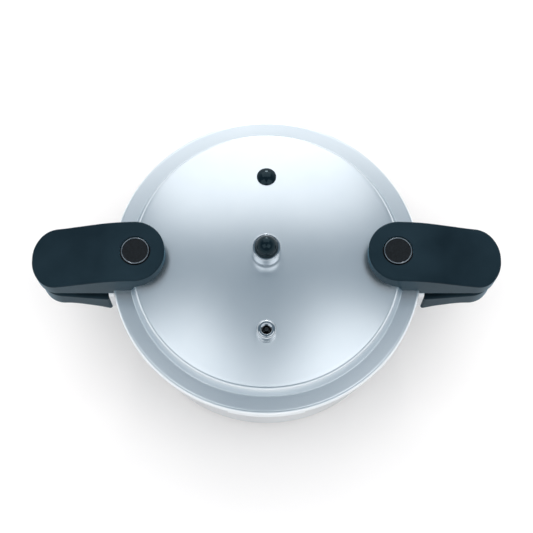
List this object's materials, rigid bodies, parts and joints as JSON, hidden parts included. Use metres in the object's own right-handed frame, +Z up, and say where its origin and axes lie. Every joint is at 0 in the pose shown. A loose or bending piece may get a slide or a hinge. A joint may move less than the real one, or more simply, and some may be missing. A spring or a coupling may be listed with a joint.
{
  "type": "stovetop pressure cooker",
  "caption": "Stovetop pressure cooker with a domed outer lid that locks by turning, a central weight valve, a safety valve and paired side handles.",
  "frame": {"origin": "centre of the flat underside of the pot", "axes": "+Z up through the vent pipe, +X through the right-hand handles, -Y towards the safety valve at the front"},
  "size_m": [0.431, 0.286, 0.1687],
  "materials": {
    "pot_aluminium": "satin, spun",
    "lid_aluminium": "satin, fine frosted",
    "bracket_steel": "brushed",
    "handle_phenolic": "satin moulded, fine texture",
    "fastener_steel": "bright zinc",
    "seal_rubber": "matte",
    "badge_plastic": "fine grained black",
    "bright_chrome": "polished",
    "plated_brass": "turned",
    "knob_plastic": "gloss black",
    "dark_steel": "dark turned",
    "plug_rubber": "gloss black silicone"
  },
  "bodies": {
    "pot": {"pot_body": "pot_aluminium", "right_pot_bracket": "bracket_steel", "left_pot_bracket": "bracket_steel", "pot_bracket_rivets": "bracket_steel", "right_flame_guard": "bracket_steel", "left_flame_guard": "bracket_steel", "right_lower_handle": "handle_phenolic", "left_lower_handle": "handle_phenolic", "lower_handle_screws": "fastener_steel", "lower_handle_nuts": "fastener_steel"},
    "lid": {"lid_shell": "lid_aluminium", "right_lid_strap": "bracket_steel", "left_lid_strap": "bracket_steel", "lid_strap_rivets": "bracket_steel", "right_upper_handle": "handle_phenolic", "left_upper_handle": "handle_phenolic", "upper_handle_screws": "fastener_steel", "upper_handle_nuts": "fastener_steel", "sealing_ring": "seal_rubber", "vent_seal": "seal_rubber", "safety_valve_gasket": "seal_rubber", "right_badge_disc": "badge_plastic", "left_badge_disc": "badge_plastic", "right_badge_ring": "bright_chrome", "left_badge_ring": "bright_chrome", "safety_valve_body": "bright_chrome", "safety_valve_cap": "bright_chrome", "vent_pipe": "plated_brass", "vent_nut": "plated_brass", "vent_strainer": "plated_brass", "safety_valve_nut": "plated_brass", "safety_valve_spring": "dark_steel", "relief_plug": "plug_rubber"},
    "regulator": {"regulator_weight": "bright_chrome", "regulator_knob": "knob_plastic", "regulator_needle": "dark_steel"},
    "safety_pin": {"safety_valve_pin": "dark_steel", "safety_valve_disc": "plug_rubber"}
  },
  "joints": [
    {"name": "lid_turn", "type": "hinge", "parent": "pot", "child": "lid", "pos_m": [0, 0, 0.1125], "axis": [0, 0, 1], "range_deg": [0, 30]},
    {"name": "regulator_lift", "type": "slide", "parent": "lid", "child": "regulator", "axis": [0, 0, 1], "range_m": [0, 0.02]},
    {"name": "safety_pin_lift", "type": "slide", "parent": "lid", "child": "safety_pin", "axis": [0, 0, 1], "range_m": [0, 0.0025], "stiffness_N_per_m": 600, "springref_m": -0.003, "deforming": ["safety_valve_spring"]}
  ]
}
